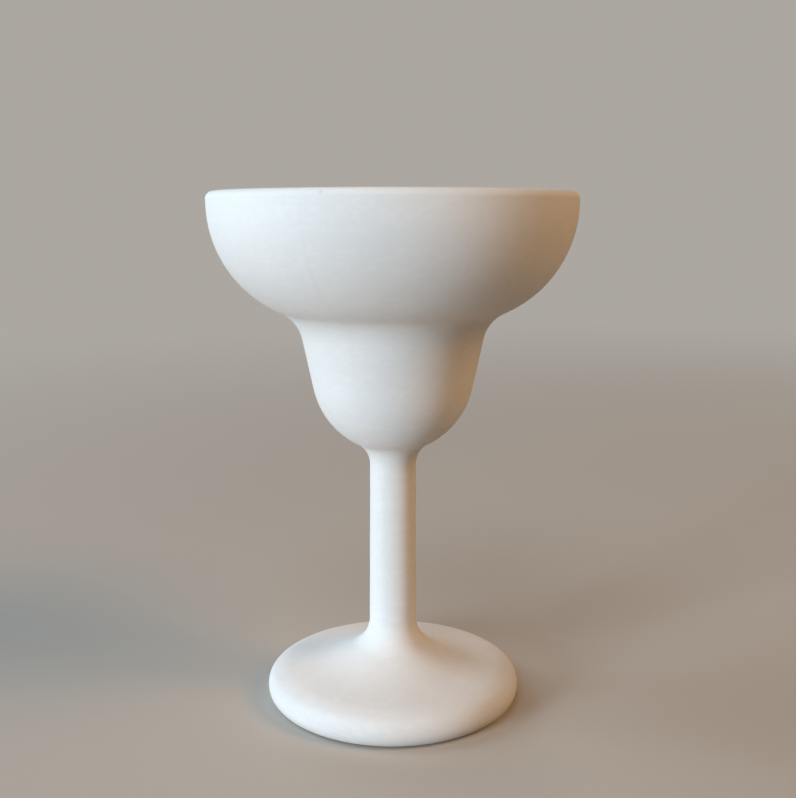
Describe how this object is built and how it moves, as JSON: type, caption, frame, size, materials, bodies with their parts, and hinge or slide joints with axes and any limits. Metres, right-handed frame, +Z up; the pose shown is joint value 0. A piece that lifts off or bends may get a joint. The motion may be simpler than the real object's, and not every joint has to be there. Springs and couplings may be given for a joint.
{
  "type": "margarita goblet",
  "caption": "Footed margarita goblet in matt white bisque: a wide bowl steps down into a narrow well on a slim straight stem and a round foot, for serving a mixed drink.",
  "frame": {"origin": "centre of the standing ring, on the table's surface", "axes": "+Z up along the goblet's axis; X and Y are level, and the picture is seen along +Y"},
  "size_m": [0.127, 0.127, 0.1826],
  "materials": {
    "bisque": "unglazed bisque, dry and matt, sponged smooth",
    "joint_slip": "fired casting slip, matt, sponged flush with the stem"
  },
  "bodies": {
    "root": {"bowl": "bisque", "bowl_joint_slip": "joint_slip", "stem": "bisque", "foot_joint_slip": "joint_slip", "foot": "bisque"}
  },
  "joints": []
}
